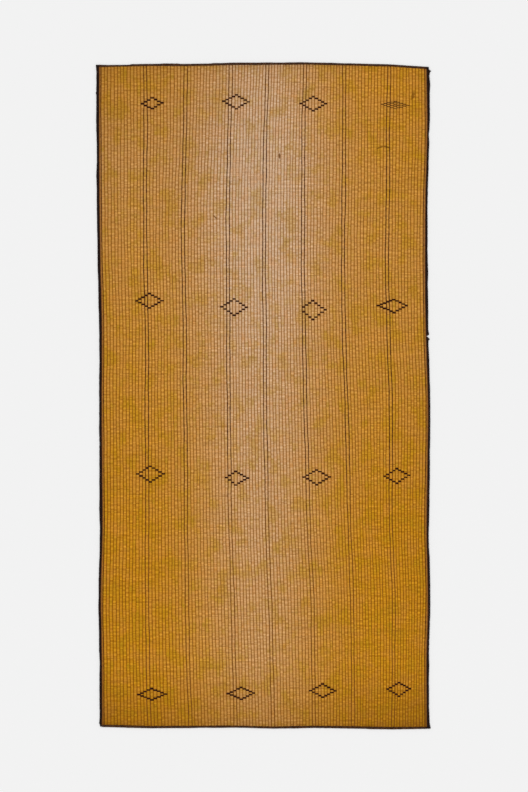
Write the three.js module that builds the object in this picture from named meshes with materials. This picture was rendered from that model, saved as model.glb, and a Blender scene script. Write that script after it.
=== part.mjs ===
// Tuareg floor mat: fine reeds lie crosswise, leather thongs bind them lengthwise, dark leather edges them.
// Millimetres, +Z up. The mat lies face up on the ground, with +X to its right side and +Y to its upper end.

import * as THREE from 'three';

// Heights above the ground
const CREST_Z = 5.0; // flat top of a rib, where the reeds stand up between two thongs
const GROOVE_Z = 3.5; // where a thong pulls the reeds down
const RIM_BOTTOM_Z = 1.5; // the rim of the reeds, pinched thin in the binding
const RIM_TOP_Z = 4.1;
const RIM_RELIEF = 0.25; // share of the ribs' depth that is left in the pinched rim

// Ribs. Places across the mat are counted in thongs from 0, and the outer edges lie one count outside.
const THONGS = 104;
const LEFT_EDGE = -1;
const LAST_THONG = THONGS - 1;
const RIGHT_EDGE = THONGS;
const SHOULDER = 0.28; // from a thong to the flat top of its rib, as a share of the pitch
const MARGIN = 23; // from the outer edge of the mat to the first thong

// Leather binding, folded round the rim
const LEATHER = 1.2;
const BINDING_HEIGHT = 5.6;
const SIDE_WIDTH = 11;
const END_WIDTH = 8;
const GRIP = 4; // depth of the slot that holds the rim
const FOLD = 1.6; // bevel of the outer fold
const GAP = 0.3; // clearance between neighbours
const SLOPE = 2.5; // length over which the rim swells to the full thickness

// Across the mat: the outline and the seven pairs of dark thongs, by share of the length from the upper end
const SECTIONS = [
  { share: 0.0, left: -899, a: -638, b: -417, c: -173, d: 23, e: 226, f: 438, g: 681, right: 895 },
  { share: 0.1, left: -899, a: -635, b: -422, c: -182, d: 13, e: 218, f: 437, g: 675, right: 898 },
  { share: 0.2, left: -897, a: -638, b: -432, c: -190, d: 6, e: 215, f: 435, g: 673, right: 889 },
  { share: 0.3, left: -892, a: -636, b: -431, c: -190, d: 5, e: 215, f: 431, g: 669, right: 887 },
  { share: 0.4, left: -884, a: -628, b: -424, c: -189, d: 8, e: 219, f: 436, g: 676, right: 891 },
  { share: 0.5, left: -885, a: -629, b: -422, c: -186, d: 10, e: 227, f: 448, g: 689, right: 902 },
  { share: 0.6, left: -883, a: -627, b: -418, c: -183, d: 15, e: 236, f: 458, g: 689, right: 900 },
  { share: 0.7, left: -881, a: -627, b: -416, c: -177, d: 22, e: 247, f: 466, g: 691, right: 895 },
  { share: 0.8, left: -889, a: -627, b: -412, c: -166, d: 35, e: 264, f: 479, g: 704, right: 902 },
  { share: 0.9, left: -884, a: -623, b: -405, c: -157, d: 46, e: 271, f: 484, g: 705, right: 895 },
  { share: 1.0, left: -883, a: -614, b: -393, c: -149, d: 54, e: 274, f: 485, g: 700, right: 897 },
];

// Each line of the table above: its place in the count of thongs, and where the two ends of the mat lie on it
const LINES = [
  { name: 'left', thong: LEFT_EDGE, top: 1787, bottom: -1787 },
  { name: 'a', thong: 13.5, top: 1793, bottom: -1794 },
  { name: 'b', thong: 25.5, top: 1793, bottom: -1794 },
  { name: 'c', thong: 39.5, top: 1798, bottom: -1793 },
  { name: 'd', thong: 51.5, top: 1799, bottom: -1798 },
  { name: 'e', thong: 64.5, top: 1801, bottom: -1794 },
  { name: 'f', thong: 77.5, top: 1796, bottom: -1796 },
  { name: 'g', thong: 91.5, top: 1790, bottom: -1801 },
  { name: 'right', thong: RIGHT_EDGE, top: 1776, bottom: -1798 },
];

// Lengths of side binding, each from its upper end (first y) to its lower end (last y).
// out is how far the fold stands out past the even outline there, at lumps, flared corners and the torn ends.
const SIDE_BINDINGS = [
  {
    name: 'binding_left',
    side: 'left',
    edge: [
      { y: 1787, out: 6 },
      { y: 1750, out: 0 },
      { y: 1646, out: 0 },
      { y: 1636, out: 4 },
      { y: 1626, out: 0 },
      { y: -1740, out: 0 },
      { y: -1767, out: 3 },
      { y: -1787, out: -4 },
    ],
  },
  {
    name: 'binding_right_upper',
    side: 'right',
    edge: [
      { y: 1776, out: -2 },
      { y: 1761, out: 1 },
      { y: 1754, out: 10 },
      { y: 1746, out: 3 },
      { y: 1725, out: 0 },
      { y: 1678, out: 4 },
      { y: 1640, out: 0 },
      { y: 352, out: 0 },
      { y: 331, out: 4 },
      { y: 324, out: -4 },
    ],
  },
  {
    name: 'binding_right_lower',
    side: 'right',
    edge: [
      { y: 319, out: -6 },
      { y: 305, out: 8 },
      { y: 299, out: 0 },
      { y: -1765, out: 0 },
      { y: -1794, out: 7 },
      { y: -1798, out: 6 },
    ],
  },
];

const END_BINDINGS = [
  { name: 'binding_top', share: 0, inward: -1 },
  { name: 'binding_bottom', share: 1, inward: 1 },
];

const REED = new THREE.MeshStandardMaterial({ color: 0xb37c30, roughness: 0.75, metalness: 0 });
const DARK_LEATHER = new THREE.MeshStandardMaterial({ color: 0x140c08, roughness: 0.6, metalness: 0 });

// Straight-line reading of a table: rows in rising order of key
function read(rows, key, at, column) {
  let i = 1;
  while (i < rows.length - 1 && at > rows[i][key]) {
    i += 1;
  }
  const low = rows[i - 1];
  const high = rows[i];
  const t = (at - low[key]) / (high[key] - low[key]);
  return THREE.MathUtils.lerp(low[column], high[column], t);
}

// Point of the mat's plan at a place in the count of thongs and a share of the length
function plan(thong, share) {
  const across = LINES.map((line) => ({ thong: line.thong, x: read(SECTIONS, 'share', share, line.name) }));
  const first = { thong: 0, x: across[0].x + MARGIN };
  const last = { thong: LAST_THONG, x: across.at(-1).x - MARGIN };
  across.splice(1, 0, first);
  across.splice(-1, 0, last);
  const top = read(LINES, 'thong', thong, 'top');
  const bottom = read(LINES, 'thong', thong, 'bottom');
  return new THREE.Vector2(read(across, 'thong', thong, 'x'), THREE.MathUtils.lerp(top, bottom, share));
}

// Share of the length at a height on one line
function shareAt(line, y) {
  return (line.top - y) / (line.top - line.bottom);
}

// Closed solid through rows of points. Each row has an upper and a lower chain, which run the same way.
// along gives each chain's points a place from 0 to 1, by which the strip that closes an end is laced.
function loft(rows, along) {
  const upperCount = along.upper.length;
  const lowerCount = along.lower.length;
  const ring = upperCount + lowerCount;
  const points = rows.flatMap((row) => [...row.upper, ...row.lower.toReversed()]);
  const faces = [];
  for (let r = 0; r < rows.length - 1; r += 1) {
    for (let k = 0; k < ring; k += 1) {
      const next = (k + 1) % ring;
      const here = r * ring;
      const beyond = here + ring;
      faces.push([here + k, beyond + k, here + next], [beyond + k, beyond + next, here + next]);
    }
  }
  const upperPoint = (i) => i;
  const lowerPoint = (j) => ring - 1 - j;
  const end = (rows.length - 1) * ring;
  let i = 0;
  let j = 0;
  while (i < upperCount - 1 || j < lowerCount - 1) {
    const upperLeft = i < upperCount - 1;
    const lowerLeft = j < lowerCount - 1;
    const upperNext = !lowerLeft || (upperLeft && along.upper[i + 1] <= along.lower[j + 1]);
    const third = upperNext ? upperPoint(i + 1) : lowerPoint(j + 1);
    const face = [upperPoint(i), third, lowerPoint(j)];
    faces.push(face, face.toReversed().map((n) => n + end));
    if (upperNext) {
      i += 1;
    } else {
      j += 1;
    }
  }
  return new THREE.BufferGeometry().setFromPoints(points).setIndex(outward(points, faces).flat());
}

// The faces, turned round if they enclose a negative volume
function outward(points, faces) {
  const volume = faces.reduce((sum, [a, b, c]) => sum + points[a].dot(points[b].clone().cross(points[c])), 0);
  return volume > 0 ? faces : faces.map((face) => face.toReversed());
}

// Reeds: a flat sheet with a rib between each two thongs
function reedSheet() {
  const atEdge = (inset) => LEFT_EDGE + inset / MARGIN;
  const rim = [atEdge(SIDE_WIDTH - GRIP + GAP), atEdge(SIDE_WIDTH + GAP), atEdge(SIDE_WIDTH + SLOPE)];
  const mirrored = (chain) => chain.toReversed().map(({ thong, z }) => ({ thong: LAST_THONG - thong, z }));

  const rimTop = [RIM_TOP_Z, RIM_TOP_Z, CREST_Z].map((z, i) => ({ thong: rim[i], z }));
  const upper = [...rimTop, { thong: -SHOULDER, z: CREST_Z }, { thong: 0, z: GROOVE_Z }];
  for (let thong = 1; thong < THONGS; thong += 1) {
    upper.push({ thong: thong - 1 + SHOULDER, z: CREST_Z });
    upper.push({ thong: thong - SHOULDER, z: CREST_Z });
    upper.push({ thong, z: GROOVE_Z });
  }
  upper.push(...mirrored([...rimTop, { thong: -SHOULDER, z: CREST_Z }]));

  const rimBottom = [RIM_BOTTOM_Z, RIM_BOTTOM_Z, 0].map((z, i) => ({ thong: rim[i], z }));
  const rest = LINES.slice(1, -1).map(({ thong }) => ({ thong, z: 0 }));
  const lower = [...rimBottom, ...rest, ...mirrored(rimBottom)];

  const length = LINES[0].top - LINES[0].bottom;
  const tucked = [END_WIDTH - GRIP + GAP, END_WIDTH + GAP].map((inset) => inset / length);
  const full = (END_WIDTH + SLOPE) / length;
  const middle = SECTIONS.slice(1, -1).map(({ share }) => share);
  const half = [...tucked, full];
  const shares = [...half, ...middle, ...half.toReversed().map((share) => 1 - share)];

  const rows = shares.map((share) => {
    const pinched = share < full || share > 1 - full;
    const place = ({ thong, z }) => {
      const { x, y } = plan(thong, share);
      return new THREE.Vector3(x, y, z);
    };
    const upperZ = (z) => (pinched ? Math.min(z, RIM_TOP_Z - (CREST_Z - z) * RIM_RELIEF) : z);
    const lowerZ = (z) => (pinched ? RIM_BOTTOM_Z : z);
    return {
      upper: upper.map(({ thong, z }) => place({ thong, z: upperZ(z) })),
      lower: lower.map(({ thong, z }) => place({ thong, z: lowerZ(z) })),
    };
  });
  const start = rim[0];
  const span = LAST_THONG - 2 * start;
  const along = {
    upper: upper.map(({ thong }) => (thong - start) / span),
    lower: lower.map(({ thong }) => (thong - start) / span),
  };
  return loft(rows, along);
}

// Section of the folded binding: in is measured from the outer fold towards the reeds.
// The outside runs under, round the fold and over; the slot runs the same way inside it.
function bindingSection(width) {
  const slot = width - GRIP;
  const outside = [
    { in: width, z: 0 },
    { in: FOLD, z: 0 },
    { in: 0, z: FOLD },
    { in: 0, z: BINDING_HEIGHT - FOLD },
    { in: FOLD, z: BINDING_HEIGHT },
    { in: width, z: BINDING_HEIGHT },
  ];
  const inside = [
    { in: width, z: LEATHER },
    { in: slot, z: LEATHER },
    { in: slot, z: BINDING_HEIGHT - LEATHER },
    { in: width, z: BINDING_HEIGHT - LEATHER },
  ];
  return { outside, inside };
}

// Solid of the binding's section carried through stations, each section point placed by a function
function bindingAlong(stations, width, place) {
  const { outside, inside } = bindingSection(width);
  const rows = stations.map((station) => ({
    upper: outside.map((point) => place(station, point)),
    lower: inside.map((point) => place(station, point)),
  }));
  const even = (chain) => chain.map((_, i) => i / (chain.length - 1));
  return loft(rows, { upper: even(outside), lower: even(inside) });
}

// Binding of one side, or a length of it
function sideBinding({ side, edge }) {
  const line = LINES.find(({ name }) => name === side);
  const inwardX = side === 'left' ? 1 : -1;
  const rising = edge.toReversed();
  const sectionHeights = SECTIONS.map(({ share }) => THREE.MathUtils.lerp(line.top, line.bottom, share));
  const within = sectionHeights.filter((y) => y < edge[0].y && y > edge.at(-1).y);
  const heights = [...new Set([...edge.map(({ y }) => y), ...within])].sort((a, b) => b - a);
  return bindingAlong(heights, SIDE_WIDTH, (y, point) => {
    const outline = plan(line.thong, shareAt(line, y));
    const out = point.in < SIDE_WIDTH - GRIP ? read(rising, 'y', y, 'out') : 0;
    return new THREE.Vector3(outline.x + inwardX * (point.in - out), y, point.z);
  });
}

// Binding of one end, between the two side bindings
function endBinding({ share, inward }) {
  const clear = (SIDE_WIDTH + GAP) / MARGIN;
  const inner = LINES.slice(1, -1).map(({ thong }) => thong);
  const stations = [LEFT_EDGE + clear, ...inner, RIGHT_EDGE - clear];
  return bindingAlong(stations, END_WIDTH, (thong, point) => {
    const outline = plan(thong, share);
    return new THREE.Vector3(outline.x, outline.y + inward * point.in, point.z);
  });
}

function named(name, geometry, material) {
  const mesh = new THREE.Mesh(geometry, material.clone());
  mesh.name = name;
  return mesh;
}

const mat = new THREE.Group();
mat.add(named('reeds', reedSheet(), REED));
for (const length of SIDE_BINDINGS) {
  mat.add(named(length.name, sideBinding(length), DARK_LEATHER));
}
for (const end of END_BINDINGS) {
  mat.add(named(end.name, endBinding(end), DARK_LEATHER));
}

export default mat;
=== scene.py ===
"""Looks of a reed and leather floor mat: golden reeds bound by thongs, with stepped diamonds."""

import bmesh
import bpy
import numpy as np
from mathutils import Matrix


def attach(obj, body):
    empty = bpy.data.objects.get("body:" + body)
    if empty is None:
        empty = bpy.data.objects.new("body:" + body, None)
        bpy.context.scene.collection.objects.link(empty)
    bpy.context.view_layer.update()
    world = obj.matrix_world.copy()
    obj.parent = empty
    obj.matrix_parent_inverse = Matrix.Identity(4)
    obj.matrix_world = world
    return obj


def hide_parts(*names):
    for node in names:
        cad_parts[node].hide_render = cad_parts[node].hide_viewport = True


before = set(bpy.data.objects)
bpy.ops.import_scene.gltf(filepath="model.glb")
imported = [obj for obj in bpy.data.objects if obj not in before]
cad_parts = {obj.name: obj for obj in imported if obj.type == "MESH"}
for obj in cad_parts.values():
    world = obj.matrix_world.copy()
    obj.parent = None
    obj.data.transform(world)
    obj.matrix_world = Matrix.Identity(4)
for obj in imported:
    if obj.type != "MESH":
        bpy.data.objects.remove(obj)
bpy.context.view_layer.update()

MM = 0.001
rng = np.random.default_rng(20)

# Heights above the ground, in mm
CREST_Z = 4.9
GROOVE_Z = 3.3
RIM_TOP_Z = 4.0
RIM_BOTTOM_Z = 1.6
UNDER_GROOVE_Z = 1.3
UNDER_CREST_Z = 0.15

# Across the mat, places are counted in thongs: 0 to 103, with the outer edges one count outside
LAST_THONG = 103
LEFT_EDGE = -1
RIGHT_EDGE = 104
MARGIN = 23  # mm from the outer edge to the first thong
SIDE_WIDTH = 12
END_WIDTH = 12
GRIP = 4  # mm of the rim that lies inside the binding
DARK_PAIRS = (13, 25, 39, 51, 64, 77, 91)  # the first thong of each dark pair

# Outline and dark pairs across the mat, in mm, at even steps from the upper end to the lower one
LINE_X = {
    "left": (-899, -899, -897, -892, -884, -885, -883, -881, -889, -884, -883),
    "a": (-638, -635, -638, -636, -628, -629, -627, -627, -627, -623, -614),
    "b": (-417, -422, -432, -431, -424, -422, -418, -416, -412, -405, -393),
    "c": (-173, -182, -190, -190, -189, -186, -183, -177, -166, -157, -149),
    "d": (23, 13, 6, 5, 8, 10, 15, 22, 35, 46, 54),
    "e": (226, 218, 215, 215, 219, 227, 236, 247, 264, 271, 274),
    "f": (438, 437, 435, 431, 436, 448, 458, 466, 479, 484, 485),
    "g": (681, 675, 673, 669, 676, 689, 689, 691, 704, 705, 700),
    "right": (895, 898, 889, 887, 891, 902, 900, 895, 902, 895, 897),
}
# Each line's place in the count of thongs, and where the two ends of the mat lie on it
LINE_THONG = (LEFT_EDGE, 13.5, 25.5, 39.5, 51.5, 64.5, 77.5, 91.5, RIGHT_EDGE)
LINE_TOP = (1787, 1793, 1793, 1798, 1799, 1801, 1796, 1790, 1776)
LINE_BOTTOM = (-1787, -1794, -1794, -1793, -1798, -1794, -1796, -1801, -1798)

# Stepped diamonds: the rib of the upper and lower tip, ribs out to the side tips, the heights of the
# four tips in mm, and how it was worked: whole, filled with more dashes, or open at the left tip
DIAMONDS = (
    # rib, left, right, y left, y right, y top, y bottom, worked
    (15, 3, 3, 1576, 1582, 1608, 1550, "whole"),
    (41, 4, 4, 1590, 1588, 1625, 1550, "whole"),
    (67, 4, 4, 1578, 1577, 1615, 1539, "whole"),
    (93, 4, 4, 1574, 1569, 1590, 1550, "filled"),
    (14, 4, 4, 512, 514, 552, 474, "whole"),
    (41, 4, 4, 480, 478, 523, 434, "whole"),
    (67, 4, 4, 467, 463, 513, 412, "open"),
    (93, 5, 4, 487, 487, 520, 450, "whole"),
    (14, 4, 4, -422, -422, -380, -465, "whole"),
    (41, 3, 4, -442, -444, -408, -481, "whole"),
    (67, 4, 4, -438, -438, -401, -480, "whole"),
    (93, 4, 4, -435, -429, -393, -472, "whole"),
    (14, 4, 4, -1614, -1610, -1582, -1642, "whole"),
    (41, 4, 4, -1609, -1605, -1575, -1638, "whole"),
    (67, 4, 4, -1592, -1594, -1557, -1628, "whole"),
    (93, 4, 4, -1584, -1581, -1549, -1622, "whole"),
)

# Lengths of side binding from top to bottom: y and how far the fold stands out there, in mm
SIDE_BINDINGS = {
    "binding_left": (
        (1787, 6), (1750, 2), (1646, 0), (1636, 4), (1626, 2), (-450, 2),
        (-600, 5), (-720, 1), (-1740, 1), (-1767, 3), (-1787, -4),
    ),
    "binding_right_upper": (
        (1776, -2), (1761, 1), (1754, 12), (1746, 4), (1725, 1), (1678, 5), (1640, 2), (1500, 2),
        (1440, -1), (1410, -4), (1370, -1), (980, -1), (640, 2), (352, 0), (331, 4), (324, -4),
    ),
    "binding_right_lower": ((319, -6), (305, 8), (299, 0), (-1765, 0), (-1794, 7), (-1798, 6)),
}
# End bindings: share of the length, direction inwards, and steps of the outer edge as thong and mm
END_BINDINGS = {
    "binding_top": (
        0.0,
        -1,
        (
            (-1, 0), (2, -2.5), (8.6, -3), (9.2, 0), (18, 0), (19, 2),
            (23, 2), (24, 0), (33, -2), (34, 1), (104, 0),
        ),
    ),
    "binding_bottom": (1.0, 1, ((-1, 2), (20, 2), (30, 0), (60, 0), (85, 2), (104, 1))),
}


def ease(values, share):
    """Smooth curve through values spaced evenly over share 0 to 1."""
    values = np.asarray(values, float)
    slopes = np.gradient(values)
    at = np.clip(share, 0, 1) * (len(values) - 1)
    i = np.clip(at.astype(int), 0, len(values) - 2)
    t = at - i
    rise = values[i + 1] - values[i]
    sag = (slopes[i] - rise) * (1 - t) - (slopes[i + 1] - rise) * t
    return values[i] + rise * t + t * (1 - t) * sag


WANDER_WAVES = (5, 9, 17, 31)
WANDER_SIZE = (1.0, 0.7, 0.5, 0.35)
wander_phase = rng.uniform(0, 2 * np.pi, (len(WANDER_WAVES), RIGHT_EDGE + 2))


def wander(thong, share):
    """How far a thong strays from its even line, in mm."""
    held = np.clip(np.minimum(thong + 1, RIGHT_EDGE - thong) / 2, 0, 1)
    low = np.floor(thong).astype(int)
    part = thong - low
    total = 0.0
    for wave, size, phase in zip(WANDER_WAVES, WANDER_SIZE, wander_phase):
        here = np.sin(2 * np.pi * wave * share + phase[low + 1])
        beyond = np.sin(2 * np.pi * wave * share + phase[np.minimum(low + 2, RIGHT_EDGE + 1)])
        total = total + size * (here * (1 - part) + beyond * part)
    return held * total


def plan(thong, share):
    """X and Y in mm at places in the count of thongs and shares of the length."""
    thong, share = np.broadcast_arrays(np.asarray(thong, float), np.asarray(share, float))
    lines = [ease(values, share) for values in LINE_X.values()]
    lines.insert(1, lines[0] + MARGIN)
    lines.insert(-1, lines[-1] - MARGIN)
    counts = [LEFT_EDGE, 0, *LINE_THONG[1:-1], LAST_THONG, RIGHT_EDGE]
    x = np.zeros(thong.shape)
    for k in range(len(counts) - 1):
        t = (thong - counts[k]) / (counts[k + 1] - counts[k])
        inside = (t >= 0) & (t <= 1)
        x = np.where(inside, lines[k] * (1 - t) + lines[k + 1] * t, x)
    top = np.interp(thong, LINE_THONG, LINE_TOP)
    bottom = np.interp(thong, LINE_THONG, LINE_BOTTOM)
    return x + wander(thong, share), top + (bottom - top) * share


def share_at(thong, y):
    """Share of the length at a height y, in mm, on one thong."""
    top = np.interp(thong, LINE_THONG, LINE_TOP)
    bottom = np.interp(thong, LINE_THONG, LINE_BOTTOM)
    return (top - y) / (top - bottom)


# Meshes from arrays
def grid_faces(rows, columns, start=0, closed=False):
    """Quads of a grid of points, row by row. closed joins the last column to the first."""
    r, c = np.meshgrid(np.arange(rows - 1), np.arange(columns if closed else columns - 1), indexing="ij")
    beyond = (c + 1) % columns
    quads = [r * columns + c, (r + 1) * columns + c, (r + 1) * columns + beyond, r * columns + beyond]
    return np.stack(quads, -1).reshape(-1, 4) + start


def lace(first, second, first_along, second_along):
    """Triangles between two chains of points, each with its own spacing along them."""
    faces = []
    i = j = 0
    last_i, last_j = len(first) - 1, len(second) - 1
    while i < last_i or j < last_j:
        if j == last_j or (i < last_i and first_along[i + 1] <= second_along[j + 1]):
            faces.append((first[i], first[i + 1], second[j]))
            i += 1
        else:
            faces.append((first[i], second[j + 1], second[j]))
            j += 1
    return faces


def make_piece(name, points, faces, material, attributes=None):
    """Smooth-shaded mesh in metres from points in mm, riding on the mat."""
    mesh = bpy.data.meshes.new(name)
    mesh.from_pydata((np.asarray(points) * MM).tolist(), [], [tuple(int(i) for i in f) for f in faces])
    shape = bmesh.new()
    shape.from_mesh(mesh)
    bmesh.ops.recalc_face_normals(shape, faces=shape.faces[:])
    shape.to_mesh(mesh)
    shape.free()
    for key, values in (attributes or {}).items():
        mesh.attributes.new(key, "FLOAT", "POINT").data.foreach_set("value", np.asarray(values, np.float32))
    mesh.polygons.foreach_set("use_smooth", [True] * len(mesh.polygons))
    mesh.materials.append(material)
    piece = bpy.data.objects.new(name, mesh)
    bpy.context.scene.collection.objects.link(piece)
    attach(piece, "root")
    return piece


# Fading, and darkening towards the ends, the sides and the upper left corner, worked out at each point
FADE_CENTRE = -20  # mm, the pale band down the middle
FADE_SPREAD = 225
FADE_HEIGHTS = (-1700, -1400, -700, 200, 800, 1270, 1700)
FADE_BAND = (0.22, 0.34, 0.47, 0.57, 0.78, 0.86, 0.6)
FADE_LEFT = (0, 0, 0.01, 0.07, 0.15, 0.25, 0.1)
FADE_RIGHT = (0, 0, 0, 0.09, 0.13, 0.07, 0.04)


def fading(x, y):
    """0 for golden reeds to 1 for the pale worn ones, at points in mm."""
    band = np.interp(y, FADE_HEIGHTS, FADE_BAND) * np.exp(-0.5 * ((x - FADE_CENTRE) / FADE_SPREAD) ** 2)
    to_right = np.clip((x + 800) / 1600, 0, 1)
    left = np.interp(y, FADE_HEIGHTS, FADE_LEFT) * (1 - to_right)
    right = np.interp(y, FADE_HEIGHTS, FADE_RIGHT) * to_right
    return np.clip(band + (left + right), 0, 1)


def darkening_at(x, y):
    """Darkening towards the two ends, the sides and the upper left corner."""
    low = np.interp(y, (-1800, -1780, -1700, -1600, -1450), (1.0, 0.6, 0.46, 0.24, 0.0))
    low = low * (0.6 + 0.5 * np.abs(x) / 850) + np.interp(y, (-1795, -1770, -1740), (0.28, 0.16, 0.0))
    high = np.interp(y, (1690, 1760, 1790, 1800), (0.0, 0.12, 0.4, 0.6))
    edge = np.interp(np.abs(x), (700, 800, 860, 890), (0, 0.07, 0.14, 0.3))
    corner = 0.28 * np.exp(-0.5 * ((x + 900) ** 2 + (y - 1800) ** 2) / 600 ** 2)
    return np.clip(low + high + edge + corner, 0, 1)


# Material building
def new_material(name):
    material = bpy.data.materials.new(name)
    material.use_nodes = True
    tree = material.node_tree
    return material, tree, tree.nodes["Principled BSDF"]


def node(tree, kind, inputs=None, **settings):
    """A node with its settings and inputs. An input that is a socket is linked."""
    made = tree.nodes.new(kind)
    for key, value in settings.items():
        setattr(made, key, value)
    for key, value in (inputs or {}).items():
        if isinstance(value, bpy.types.NodeSocket):
            tree.links.new(value, made.inputs[key])
        else:
            made.inputs[key].default_value = value
    return made


def attribute(tree, name):
    return node(tree, "ShaderNodeAttribute", attribute_name=name).outputs["Fac"]


def maths(tree, operation, a, b=0.0, clamp=False):
    return node(tree, "ShaderNodeMath", {0: a, 1: b}, operation=operation, use_clamp=clamp).outputs[0]


def mix(tree, factor, a, b, blend="MIX"):
    made = node(tree, "ShaderNodeMix", data_type="RGBA", blend_type=blend, clamp_factor=True)
    for socket, value in ((made.inputs[0], factor), (made.inputs[6], a), (made.inputs[7], b)):
        if isinstance(value, bpy.types.NodeSocket):
            tree.links.new(value, socket)
        else:
            socket.default_value = value
    return made.outputs[2]


def spread(tree, value, low, high, to_low=0.0, to_high=1.0):
    made = node(tree, "ShaderNodeMapRange", {0: value, 1: low, 2: high, 3: to_low, 4: to_high})
    return made.outputs[0]


def place(tree, scale):
    """Object coordinates in metres, stretched."""
    coordinates = node(tree, "ShaderNodeTexCoord").outputs["Object"]
    return node(tree, "ShaderNodeVectorMath", {0: coordinates, 1: scale}, operation="MULTIPLY").outputs[0]


def noise_at(tree, vector, size, detail, roughness):
    inputs = {"Vector": vector, "Scale": size, "Detail": detail, "Roughness": roughness}
    return node(tree, "ShaderNodeTexNoise", inputs).outputs["Fac"]


def noise(tree, scale, detail, roughness):
    """Noise with about scale cells in a metre along X, Y and Z."""
    return noise_at(tree, place(tree, scale), 1.0, detail, roughness)


def grey(tree, value):
    return node(tree, "ShaderNodeCombineColor", {0: value, 1: value, 2: value}).outputs[0]


def srgb(red, green, blue):
    """A colour as seen on screen, 0 to 255, in linear light."""
    def linear(c):
        c = c / 255
        return c / 12.92 if c <= 0.04045 else ((c + 0.055) / 1.055) ** 2.4
    return (linear(red), linear(green), linear(blue), 1.0)


STEM_SCALE = 88.0  # waves about 3.6 mm long
GRAIN_SCALE = 620.0  # leather cells about 1.6 mm across
# The pale straw is a painted highlight on the rib crests, the deep gold a painted shade in the grooves
CREST_HIGHLIGHT_STRAW = srgb(227, 163, 40)
GROOVE_SHADE_GOLD = srgb(176, 106, 0)
FADED = srgb(218, 184, 151)
ROSY = srgb(206, 134, 46)
OLIVE = srgb(178, 138, 20)
DARK_BROWN = srgb(104, 62, 8)
EDGE_TAN = srgb(128, 78, 46)
THONG_FADED = srgb(150, 108, 74)
THONG_RUBBED = srgb(128, 76, 12)

# Small stains: place and half size in mm, turn in radians, strength
STAINS = (
    # x, y, half width, half height, turn, strength
    (88, 1295, 5, 17, 0.0, 0.9),
    (809, 1622, 9, 27, -0.25, 0.6),
    (628, 1340, 23, 4, 0.39, 0.8),
    (666, 1344, 21, 4, -0.18, 0.8),
    (-260, 965, 17, 4, -0.78, 0.8),
)


def straw_colour(tree):
    """Golden reeds, deeper in the grooves as painted shade and paler on the crests as a painted highlight,
    mottled rib by rib.
    """
    rib = maths(tree, "FLOOR", attribute(tree, "rib"))
    along_rib = node(tree, "ShaderNodeCombineXYZ", {0: rib, 1: attribute(tree, "run")}).outputs[0]
    blotch = noise_at(tree, along_rib, 9.0, 3.0, 0.7)
    bead = noise_at(tree, along_rib, 80.0, 2.0, 0.7)
    streak = noise(tree, (8.0, 95.0, 1.0), 2.0, 0.7)
    crest = attribute(tree, "crest")
    cloud = noise(tree, (11.0, 8.0, 1.0), 2.0, 0.6)
    # Painted highlight on the crests and painted shade in the grooves, with random bead tone added
    rise = spread(tree, crest, 0.2, 1.0, 0.08, 0.68)
    lit = maths(tree, "ADD", rise, spread(tree, bead, 0.36, 0.64, -0.25, 0.25))
    base = mix(tree, lit, GROOVE_SHADE_GOLD, CREST_HIGHLIGHT_STRAW)
    worn_and_crest_lit = maths(tree, "MULTIPLY", attribute(tree, "fade"), spread(tree, cloud, 0.35, 0.65, 0.8, 1.2))
    worn_and_crest_lit = maths(tree, "ADD", worn_and_crest_lit, spread(tree, cloud, 0.35, 0.65, -0.025, 0.025))
    # Fading made stronger on the crests and weaker in the grooves: real wear plus a painted highlight and
    # painted shade
    worn_and_crest_lit = maths(tree, "MULTIPLY", worn_and_crest_lit, spread(tree, crest, 0.2, 1.0, 0.3, 1.42))
    worn_and_crest_lit = maths(tree, "MULTIPLY", worn_and_crest_lit, spread(tree, bead, 0.36, 0.64, 0.7, 1.3))
    base = mix(tree, worn_and_crest_lit, base, FADED)
    base = mix(tree, spread(tree, blotch, 0.52, 0.66, 0.0, 0.4), base, ROSY)
    base = mix(tree, spread(tree, blotch, 0.48, 0.34, 0.0, 0.4), base, OLIVE)
    base = mix(tree, spread(tree, cloud, 0.52, 0.64, 0.0, 0.24), base, ROSY)
    base = mix(tree, spread(tree, cloud, 0.48, 0.36, 0.0, 0.3), base, OLIVE)
    light = spread(tree, bead, 0.36, 0.64, 0.885, 1.115)
    light = maths(tree, "ADD", light, spread(tree, streak, 0.35, 0.65, -0.08, 0.08))
    return mix(tree, 1.0, base, grey(tree, light), "MULTIPLY")


def stained(tree, colour):
    """The colour with the small dark stains laid over it."""
    coordinates = node(tree, "ShaderNodeTexCoord").outputs["Object"]
    for x, y, half_width, half_height, turn, strength in STAINS:
        spot = node(tree, "ShaderNodeMapping", {"Vector": coordinates}, vector_type="TEXTURE")
        spot.inputs["Location"].default_value = (x * MM, y * MM, 0)
        spot.inputs["Rotation"].default_value = (0, 0, turn)
        spot.inputs["Scale"].default_value = (half_width * MM, half_height * MM, 1)
        away = node(tree, "ShaderNodeVectorMath", {0: spot.outputs[0]}, operation="LENGTH").outputs["Value"]
        colour = mix(tree, spread(tree, away, 1.15, 0.7, 0.0, strength), colour, DARK_BROWN)
    return colour


def reed_stems(tree):
    """Height of the fine reeds that lie side by side across the mat, 0 to 1."""
    wave = {"Vector": place(tree, (1.0, 1.0, 1.0)), "Scale": STEM_SCALE}
    wave.update({"Distortion": 1.6, "Detail": 2.0, "Detail Scale": 4.0})
    return node(tree, "ShaderNodeTexWave", wave, bands_direction="Y").outputs["Fac"]


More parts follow.
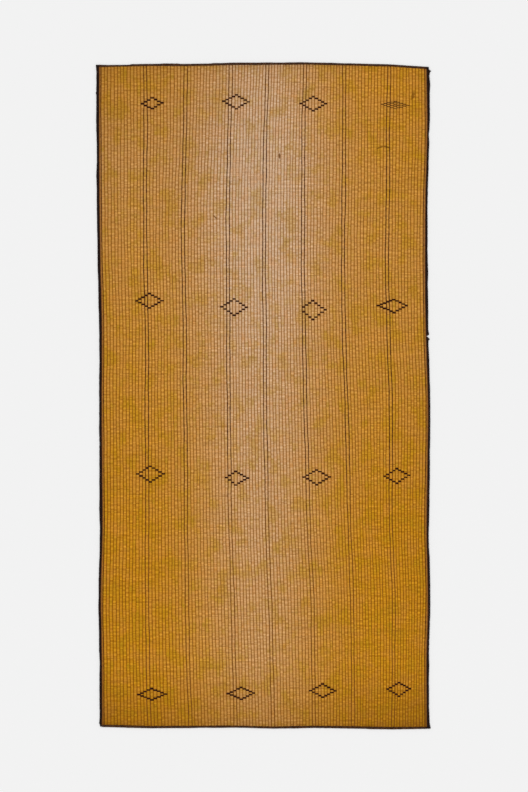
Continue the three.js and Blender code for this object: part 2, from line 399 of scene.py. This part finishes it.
def reed_material():
    material, tree, shader = new_material("reed")
    colour = straw_colour(tree)
    stems = reed_stems(tree)
    tone = noise(tree, (2.2, 290.0, 1.0), 1.0, 0.5)
    # Painted shade in the gaps between the reed stems, where the stem height is low
    between = spread(tree, stems, 0.0, 0.45, -0.2, 0.06)
    shade = maths(tree, "ADD", between, spread(tree, tone, 0.3, 0.7, 0.88, 1.12))
    colour = mix(tree, 1.0, colour, grey(tree, shade), "MULTIPLY")
    specks = noise(tree, (230.0, 110.0, 1.0), 1.0, 0.5)
    colour = mix(tree, spread(tree, specks, 0.64, 0.74, 0.0, 0.5), colour, DARK_BROWN)
    rib = attribute(tree, "rib")
    past_last = spread(tree, rib, LAST_THONG + 0.12, LAST_THONG + 0.3)
    margin = maths(tree, "MAXIMUM", spread(tree, rib, -0.12, -0.3), past_last)
    colour = mix(tree, maths(tree, "MULTIPLY", margin, 0.85), colour, EDGE_TAN)
    # Darkening towards the ends, the sides and the upper left corner
    colour = mix(tree, maths(tree, "MULTIPLY", attribute(tree, "darkening"), 0.6), colour, DARK_BROWN)
    tree.links.new(stained(tree, colour), shader.inputs["Base Color"])
    grain = noise(tree, (40.0, 900.0, 1.0), 2.0, 0.6)
    height = maths(tree, "ADD", maths(tree, "MULTIPLY", stems, 0.8), maths(tree, "MULTIPLY", grain, 0.2))
    bump = node(tree, "ShaderNodeBump", {"Height": height, "Strength": 0.6, "Distance": 0.0012})
    tree.links.new(bump.outputs[0], shader.inputs["Normal"])
    tree.links.new(spread(tree, grain, 0.3, 0.7, 0.6, 0.8), shader.inputs["Roughness"])
    shader.inputs["Specular IOR Level"].default_value = 0.02
    return material


def leather_material(name, dark, light, wear=0.5, follow_straw=0.0, rubbed_ends=0.0):
    """Leather with grain, rubbed lighter in places.

    follow_straw lets it take the fading of the reeds around it.
    rubbed_ends wears it away near the mat's ends.
    """
    material, tree, shader = new_material(name)
    rubbed = noise(tree, (60.0, 24.0, 60.0), 4.0, 0.65)
    colour = mix(tree, spread(tree, rubbed, 0.42, 0.72, 0.0, wear), dark, light)
    if follow_straw:
        faded = maths(tree, "MULTIPLY", attribute(tree, "fade"), follow_straw)
        colour = mix(tree, faded, colour, THONG_FADED)
        # Takes the darkening towards the ends, the sides and the upper left corner
        colour = mix(tree, maths(tree, "MULTIPLY", attribute(tree, "darkening"), 0.5), colour, DARK_BROWN)
    if rubbed_ends:
        run = attribute(tree, "run")
        upper = spread(tree, run, 0.5, 0.0, 0.0, 0.6 * rubbed_ends)
        lower = spread(tree, run, 2.0, 2.6, 0.0, rubbed_ends)
        colour = mix(tree, maths(tree, "MAXIMUM", upper, lower), colour, THONG_RUBBED)
    tree.links.new(colour, shader.inputs["Base Color"])
    cells = {"Vector": place(tree, (1.0, 1.0, 1.0)), "Scale": GRAIN_SCALE}
    grain = node(tree, "ShaderNodeTexVoronoi", cells).outputs["Distance"]
    creases = noise(tree, (90.0, 35.0, 90.0), 4.0, 0.6)
    height = maths(tree, "ADD", maths(tree, "MULTIPLY", grain, 0.5), creases)
    bump = node(tree, "ShaderNodeBump", {"Height": height, "Strength": 0.4, "Distance": 0.0008})
    tree.links.new(bump.outputs[0], shader.inputs["Normal"])
    tree.links.new(spread(tree, rubbed, 0.3, 0.75, 0.5, 0.72), shader.inputs["Roughness"])
    shader.inputs["Specular IOR Level"].default_value = 0.07
    return material


REED = reed_material()
THONG = leather_material("thong_leather", srgb(126, 76, 2), srgb(158, 100, 8), 0.6, 0.75)
DARK_THONG = leather_material(
    "dark_thong_leather", srgb(66, 27, 3), srgb(124, 74, 26), 0.7, rubbed_ends=0.7
)
EDGE_THONG = leather_material("edge_thong_leather", srgb(70, 30, 4), srgb(104, 56, 10), 0.5)
DASH = leather_material("dash_leather", srgb(46, 14, 2), srgb(76, 35, 11), 0.4)
SIDE_LEATHER = leather_material("side_leather", srgb(22, 9, 6), srgb(54, 31, 24), 0.4)
END_LEATHER = leather_material("end_leather", srgb(52, 30, 17), srgb(98, 64, 40), 0.6)


# Reed sheet: ribs above and below, closed round its rim
RIB_STEPS = (0.0, 0.3, 0.7)
UNDER_STEPS = (0.0, 0.5)
TOP_ROWS = 245
UNDER_ROWS = 61
LUMP = 0.13  # mm, unevenness of the crests
PINCH_END = 3.0  # mm beyond a binding where the sheet has its full thickness
PINCH_START = 0.4
MARGIN_CREST = 18  # mm from the outer edge
FIRST_ROW = 0.006  # share of the length
SHEET_LENGTH = LINE_TOP[0] - LINE_BOTTOM[0]
FULL_LENGTH = 3.6  # m


def rim_thongs():
    """Places of the rim's points on the left side, from the outside in, in the count of thongs."""
    held = SIDE_WIDTH - GRIP + 0.5
    insets = (held, SIDE_WIDTH + PINCH_START, SIDE_WIDTH + PINCH_END, MARGIN_CREST)
    return [LEFT_EDGE + inset / MARGIN for inset in insets]


def sheet_columns(steps):
    rim = rim_thongs()
    inner = [k + step for k in range(LAST_THONG) for step in steps] + [LAST_THONG]
    mirrored = [LAST_THONG - t for t in reversed(rim)]
    return np.array(rim + inner + mirrored)


def sheet_shares(rows):
    held = END_WIDTH - GRIP + 0.5
    ends = np.array([held, END_WIDTH + PINCH_START, END_WIDTH + PINCH_END]) / SHEET_LENGTH
    inner = np.linspace(FIRST_ROW, 1 - FIRST_ROW, rows - 2 * len(ends))
    return np.concatenate([ends, inner, 1 - ends[::-1]])


def rib_height(thong):
    """0 at a thong to 1 on the crest of a rib."""
    part = thong - np.floor(thong)
    wave = np.sin(np.pi * part) ** 0.8
    outside = (thong < 0) | (thong > LAST_THONG)
    return np.where(outside, 0.9, wave)


def sheet_surface(columns, shares, groove, crest, rim_z):
    thong, share = np.meshgrid(columns, shares)
    x, y = plan(thong, share)
    lumps = rng.normal(0, LUMP, thong.shape) * rib_height(thong)
    z = groove + (crest - groove) * rib_height(thong) + lumps
    rim = rim_thongs()
    across = np.minimum(thong, LAST_THONG - thong)
    pinch = np.clip((rim[2] - across) / (rim[2] - rim[1]), 0, 1)
    inset = np.minimum(share, 1 - share) * SHEET_LENGTH
    at_ends = (END_WIDTH + PINCH_END - inset) / (PINCH_END - PINCH_START)
    pinch = np.maximum(pinch, np.clip(at_ends, 0, 1))
    z = z * (1 - pinch) + rim_z * pinch
    return np.stack([x, y, z], -1)


def straw_attributes(points, thong, share):
    x, y = points[..., 0].ravel(), points[..., 1].ravel()
    run = np.asarray(share, float).ravel() * FULL_LENGTH
    thong = np.asarray(thong, float).ravel()
    crest = rib_height(thong)
    return {"fade": fading(x, y), "darkening": darkening_at(x, y), "rib": thong, "run": run, "crest": crest}


def boundary(rows, columns, start):
    """Indices round a grid's four sides, each from its first to its last point."""
    index = np.arange(rows * columns).reshape(rows, columns) + start
    return index[0], index[-1], index[:, 0], index[:, -1]


def reed_sheet():
    top_columns, top_shares = sheet_columns(RIB_STEPS), sheet_shares(TOP_ROWS)
    under_columns, under_shares = sheet_columns(UNDER_STEPS), sheet_shares(UNDER_ROWS)
    top = sheet_surface(top_columns, top_shares, GROOVE_Z, CREST_Z, RIM_TOP_Z)
    under = sheet_surface(under_columns, under_shares, UNDER_GROOVE_Z, UNDER_CREST_Z, RIM_BOTTOM_Z)
    under[..., 2] = np.maximum(under[..., 2], 0.05)
    start = top.shape[0] * top.shape[1]
    faces = [tuple(f) for f in grid_faces(top.shape[0], top.shape[1])]
    faces += [tuple(f[::-1]) for f in grid_faces(under.shape[0], under.shape[1], start)]
    top_sides = boundary(top.shape[0], top.shape[1], 0)
    under_sides = boundary(under.shape[0], under.shape[1], start)
    spacing = ((top_columns, under_columns),) * 2 + ((top_shares, under_shares),) * 2
    for upper, lower, along in zip(top_sides, under_sides, spacing):
        faces += lace(upper, lower, *along)
    points = np.concatenate([top.reshape(-1, 3), under.reshape(-1, 3)])
    top_thong, top_share = np.meshgrid(top_columns, top_shares)
    under_thong, under_share = np.meshgrid(under_columns, under_shares)
    thong = np.concatenate([top_thong.ravel(), under_thong.ravel()])
    share = np.concatenate([top_share.ravel(), under_share.ravel()])
    piece = make_piece("reed_sheet", points, faces, REED, straw_attributes(points, thong, share))
    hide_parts("reeds")
    return piece


# Thongs: flat strips that run over and under the reeds in each groove
THONG_ROWS = 190
THONG_WIDTH = 4.6
DARK_WIDTH = 6.4
THONG_THICK = 1.1
THONG_END = 0.0018  # share of the length, inside the end binding
THONG_LENGTH = 3590
THONG_TUCK = 12  # mm from the end where a thong starts to rise
THONG_RISE = 20  # mm over which it rises
THONG_SECTION = np.array([(-0.5, 0.0), (-0.3, 0.85), (0.3, 1.0), (0.5, 0.0)])
OVER_REED = 0.35  # mm up over one row of reeds, and down under the next
UNDER_REED = 0.25
PAIR_LIFT = 0.35  # mm that the dark pairs stand higher
EDGE_LIFT = 0.2


def thong_strips(name, numbers, material, width, lift):
    shares = np.linspace(THONG_END, 1 - THONG_END, THONG_ROWS)
    points, faces, thongs, along = [], [], [], []
    ring = len(THONG_SECTION)
    rows = np.arange(THONG_ROWS)
    for number in numbers:
        x, y = plan(np.full(THONG_ROWS, float(number)), shares)
        over = OVER_REED * np.cos(np.pi * (rows + number)) + rng.normal(0, 0.08, THONG_ROWS)
        broad = width * (1 + rng.normal(0, 0.08, THONG_ROWS))
        inset = np.minimum(shares, 1 - shares) * THONG_LENGTH
        risen = np.clip((inset - THONG_TUCK) / THONG_RISE, 0, 1)
        base = GROOVE_Z - 0.15 + (lift + np.maximum(over, -UNDER_REED)) * risen
        strip = np.zeros((THONG_ROWS, ring, 3))
        strip[..., 0] = x[:, None] + broad[:, None] * THONG_SECTION[:, 0]
        strip[..., 1] = y[:, None]
        strip[..., 2] = base[:, None] + THONG_THICK * THONG_SECTION[:, 1]
        start = sum(len(p) for p in points)
        faces += [tuple(f) for f in grid_faces(THONG_ROWS, ring, start, closed=True)]
        faces.append(tuple(start + i for i in range(ring)))
        faces.append(tuple(start + (THONG_ROWS - 1) * ring + i for i in reversed(range(ring))))
        points.append(strip.reshape(-1, 3))
        thongs.append(np.full(THONG_ROWS * ring, float(number)))
        along.append(np.repeat(shares, ring))
    points = np.concatenate(points)
    looks = straw_attributes(points, np.concatenate(thongs), np.concatenate(along))
    return make_piece(name, points, faces, material, looks)


# Short strips, each a closed arch along its own path
STRIP_SECTION = np.array([(-0.5, 0.0), (-0.32, 0.9), (0.32, 1.0), (0.5, 0.0)])


def short_strips(name, paths, widths, thick, material):
    """One mesh of many strips. Each path is a row of points, each width a row of sideways steps."""
    ring = len(STRIP_SECTION)
    points, faces = [], []
    start = 0
    for path, width in zip(paths, widths):
        strip = path[:, None, :] + width[:, None, :] * STRIP_SECTION[None, :, :1]
        strip[..., 2] += thick * STRIP_SECTION[None, :, 1]
        rows = len(path)
        faces += [tuple(f) for f in grid_faces(rows, ring, start, closed=True)]
        faces.append(tuple(start + i for i in range(ring)))
        faces.append(tuple(start + (rows - 1) * ring + i for i in range(ring)))
        points.append(strip.reshape(-1, 3))
        start += rows * ring
    return make_piece(name, np.concatenate(points), faces, material)


# Diamonds: short leather floats, one over each rib
DASH_BROAD = 10.0
DASH_THICK = 1.1
FILL_BROAD = 4.2
FILL_STEP = 9.0
DASH_ACROSS = np.array((-0.6, -0.3, 0.0, 0.3, 0.6))
DASH_TAPER = np.array((0.75, 1, 1, 1, 0.75))


def dash_places():
    """Rib, height in mm and breadth of every dash."""
    places = []
    for rib, left, right, y_left, y_right, y_top, y_bottom, worked in DIAMONDS:
        broad = FILL_BROAD if worked == "filled" else DASH_BROAD
        for k in range(-left, right + 1):
            if worked == "open" and k == -left:
                continue
            reach, tip = (left, y_left) if k < 0 else (right, y_right)
            t = abs(k) / reach
            upper = y_top + (tip - y_top) * t
            lower = y_bottom + (tip - y_bottom) * t
            places.append((rib + k, upper, broad))
            if upper - lower > broad:
                places.append((rib + k, lower, broad))
            if worked == "filled":
                inside = np.arange(upper - FILL_STEP, lower + broad, -FILL_STEP)
                places += [(rib + k, y, broad) for y in inside]
    return places


def diamond_dashes():
    paths, widths = [], []
    arch = np.sin(np.pi * np.clip(DASH_ACROSS + 0.5, 0, 1)) ** 0.8
    for rib, y, broad in dash_places():
        thong = rib + 0.5 + DASH_ACROSS
        share = share_at(rib + 0.5, y + rng.normal(0, 0.5))
        x, y_line = plan(thong, np.full(len(thong), share))
        z = GROOVE_Z + (CREST_Z - GROOVE_Z - 0.2) * arch
        tall = broad * DASH_TAPER * (1 + rng.normal(0, 0.08))
        paths.append(np.stack([x, y_line, z], -1))
        widths.append(np.stack([0 * tall, tall, 0 * tall], -1))
    return short_strips("diamond_dashes", paths, widths, DASH_THICK, DASH)


# Stitches that hold the bindings to the reeds
STITCH_STEP = 34
STITCH_WIDTH = 2.2
STITCH_THICK = 0.8
STITCH_REACH = np.array((-4.5, -3.0, 0.5, 4.0))  # mm from the binding's inner edge, towards the middle
STITCH_LIFT = np.array((4.6, 5.1, 4.3, 3.4))


def binding_stitches():
    paths, widths = [], []
    for line, inward, inset in ((LEFT_EDGE, 1, SIDE_WIDTH), (RIGHT_EDGE, -1, SIDE_WIDTH)):
        for y in np.arange(-1770, 1760, STITCH_STEP):
            x, _ = plan(float(line), share_at(line, y))
            slant = y + rng.normal(0, 1.5) + np.linspace(-2, 2, len(STITCH_REACH))
            paths.append(np.stack([x + inward * (inset + STITCH_REACH), slant, STITCH_LIFT], -1))
            widths.append(np.tile((0.0, STITCH_WIDTH, 0.0), (len(STITCH_REACH), 1)))
    for share, inward in ((0.0, -1), (1.0, 1)):
        for thong in np.arange(1.5, LAST_THONG, 2.0):
            x, y = plan(float(thong), share)
            slant = x + rng.normal(0, 1.5) + np.linspace(-2, 2, len(STITCH_REACH))
            paths.append(np.stack([slant, y + inward * (END_WIDTH + STITCH_REACH), STITCH_LIFT + 0.2], -1))
            widths.append(np.tile((STITCH_WIDTH, 0.0, 0.0), (len(STITCH_REACH), 1)))
    return short_strips("binding_stitches", paths, widths, STITCH_THICK, SIDE_LEATHER)


# Bindings: leather folded round the rim
LEATHER = 1.1
HEIGHT = 5.6
BULGE = 2.6  # mm of the rounded outer edge
CREASE = 0.1  # mm of unevenness
SIDE_STEP = 12.0  # mm between sections along a side
SIDE_CLEAR = 8  # mm from the upper end to the next section
END_SECTIONS = 170
COARSE = 6  # sections in one slow wave of a hand-cut edge


def fold_section(width):
    """Closed section of the fold, with its slot for the rim: distance in from the outer edge, height."""
    turn = np.linspace(-np.pi / 2, np.pi / 2, 7)
    bulge = [(BULGE - BULGE * np.cos(a), HEIGHT / 2 + HEIGHT / 2 * np.sin(a)) for a in turn]
    face = [(width * 0.6, HEIGHT), (width - 0.7, HEIGHT - 0.1), (width, HEIGHT - 0.7)]
    slot_top = [(width - 0.3, HEIGHT - LEATHER), (width - GRIP, HEIGHT - LEATHER)]
    slot_bottom = [(width - GRIP, LEATHER), (width - 0.3, LEATHER)]
    under = [(width, 0.5), (width - 0.7, 0.0)]
    return np.array(bulge + face + slot_top + slot_bottom + under)


def binding_mesh(name, stations, section, place_point, material):
    ring = len(section)
    rows = np.zeros((len(stations), ring, 3))
    crease = rng.normal(0, CREASE, (len(stations), ring))
    crease[1:-1] = (crease[:-2] + crease[1:-1] * 2 + crease[2:]) / 4
    for r, station in enumerate(stations):
        rows[r] = place_point(r, station, section)
        upper = section[:, 1] > HEIGHT * 0.3
        rows[r, :, 2] = np.clip(rows[r, :, 2] + crease[r] * upper, 0, HEIGHT + 0.4)
    faces = [tuple(f) for f in grid_faces(len(stations), ring, 0, closed=True)]
    faces.append(tuple(range(ring)))
    faces.append(tuple((len(stations) - 1) * ring + i for i in reversed(range(ring))))
    seen_name = name.replace("binding", "leather")
    piece = make_piece(seen_name, rows.reshape(-1, 3), faces, material)
    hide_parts(name)
    return piece


def wobble(count, size):
    """Uneven hand-cut edge: smooth seeded noise, in mm."""
    coarse = rng.normal(0, size, count // COARSE + 3)
    fine = rng.normal(0, size * 0.4, count)
    return np.interp(np.arange(count) / COARSE, np.arange(len(coarse)), coarse) + fine


def side_binding(name, edge):
    line = LEFT_EDGE if name == "binding_left" else RIGHT_EDGE
    inward = 1 if line == LEFT_EDGE else -1
    ys = np.array([y for y, _ in edge], float)
    outs = np.array([out for _, out in edge], float)
    spaced = np.arange(ys[-1] + SIDE_STEP, ys[0] - SIDE_CLEAR, SIDE_STEP)
    stations = np.unique(np.concatenate([ys, spaced]))[::-1]
    outer, inner = wobble(len(stations), 0.8), wobble(len(stations), 0.45)
    section = fold_section(SIDE_WIDTH)

    def place_point(r, y, section):
        x, _ = plan(float(line), share_at(line, y))
        out = np.interp(y, ys[::-1], outs[::-1]) + outer[r]
        moved = section[:, 0] - out * np.clip(1 - section[:, 0] / (SIDE_WIDTH - GRIP), 0, 1)
        moved = moved + inner[r] * (section[:, 0] > SIDE_WIDTH - 1)
        return np.stack([x + inward * moved, np.full(len(section), y), section[:, 1]], -1)

    return binding_mesh(name, stations, section, place_point, SIDE_LEATHER)


def end_binding(name, share, inward, steps):
    clear = (SIDE_WIDTH + 0.4) / MARGIN
    stations = np.linspace(LEFT_EDGE + clear, RIGHT_EDGE - clear, END_SECTIONS)
    outer, inner = wobble(len(stations), 0.5), wobble(len(stations), 0.45)
    section = fold_section(END_WIDTH)
    thongs = [thong for thong, _ in steps]
    lifts = [lift for _, lift in steps]

    def place_point(r, thong, section):
        x, y = plan(float(thong), share)
        out = np.interp(thong, thongs, lifts) + outer[r]
        moved = section[:, 0] - out * np.clip(1 - section[:, 0] / (END_WIDTH - GRIP), 0, 1)
        moved = moved + inner[r] * (section[:, 0] > END_WIDTH - 1)
        return np.stack([np.full(len(section), x), y + inward * moved, section[:, 1]], -1)

    return binding_mesh(name, stations, section, place_point, END_LEATHER)


# Stage: pale floor, soft even light and a camera straight above
FLOOR_SIDE = 160.0
CAMERA_HEIGHT = 12.0
FACE_Z = 0.0045
PIXEL = 0.0054  # metres of the mat in one pixel of the picture
PICTURE_HEIGHT = 792
PICTURE_CENTRE_X, PICTURE_CENTRE_Y = 0.0043, -0.0011
SENSOR = 36.0
FLOOR_Z = -0.0004
FLOOR_DARK = (0.905, 0.905, 0.905, 1)
FLOOR_PALE = (0.915, 0.915, 0.915, 1)
SKY_STRENGTH = 0.575
SUN_STRENGTH = 1.41
SUN_ANGLE = 0.6
SUN_TURN = (0.2, -0.42, 0.0)


def floor():
    half = FLOOR_SIDE / 2
    mesh = bpy.data.meshes.new("floor")
    corners = [(-half, -half, 0), (half, -half, 0), (half, half, 0), (-half, half, 0)]
    mesh.from_pydata(corners, [], [(0, 1, 2, 3)])
    piece = bpy.data.objects.new("floor", mesh)
    piece.location.z = FLOOR_Z
    bpy.context.scene.collection.objects.link(piece)
    material, tree, shader = new_material("floor")
    soft = noise(tree, (0.4, 0.4, 0.4), 2.0, 0.5)
    tree.links.new(mix(tree, soft, FLOOR_DARK, FLOOR_PALE), shader.inputs["Base Color"])
    shader.inputs["Roughness"].default_value = 0.9
    shader.inputs["Specular IOR Level"].default_value = 0.0
    mesh.materials.append(material)


def light():
    world = bpy.data.worlds.new("studio")
    world.use_nodes = True
    background = world.node_tree.nodes["Background"]
    background.inputs["Color"].default_value = (1, 1, 1, 1)
    background.inputs["Strength"].default_value = SKY_STRENGTH
    bpy.context.scene.world = world
    sun = bpy.data.lights.new("key", "SUN")
    sun.energy = SUN_STRENGTH
    sun.angle = SUN_ANGLE
    lamp = bpy.data.objects.new("key", sun)
    lamp.rotation_euler = SUN_TURN
    bpy.context.scene.collection.objects.link(lamp)


def camera():
    data = bpy.data.cameras.new("camera")
    data.sensor_width = SENSOR
    data.lens = SENSOR * (CAMERA_HEIGHT - FACE_Z) / (PICTURE_HEIGHT * PIXEL)
    made = bpy.data.objects.new("camera", data)
    made.location = (PICTURE_CENTRE_X, PICTURE_CENTRE_Y, CAMERA_HEIGHT)
    bpy.context.scene.collection.objects.link(made)
    bpy.context.scene.camera = made


# Everything together
dark = {number for first in DARK_PAIRS for number in (first, first + 1)}
plain = [k for k in range(1, LAST_THONG) if k not in dark]
sheet = reed_sheet()
with_sheet = [
    thong_strips("thongs", plain, THONG, THONG_WIDTH, 0.0),
    thong_strips("thongs_dark", sorted(dark), DARK_THONG, DARK_WIDTH, PAIR_LIFT),
    thong_strips("thongs_edge", [0, LAST_THONG], EDGE_THONG, DARK_WIDTH, EDGE_LIFT),
    diamond_dashes(),
    binding_stitches(),
]
for name, edge in SIDE_BINDINGS.items():
    with_sheet.append(side_binding(name, edge))
for name, (share, inward, steps) in END_BINDINGS.items():
    with_sheet.append(end_binding(name, share, inward, steps))

floor()
light()
camera()
bpy.context.scene.view_settings.view_transform = "Standard"
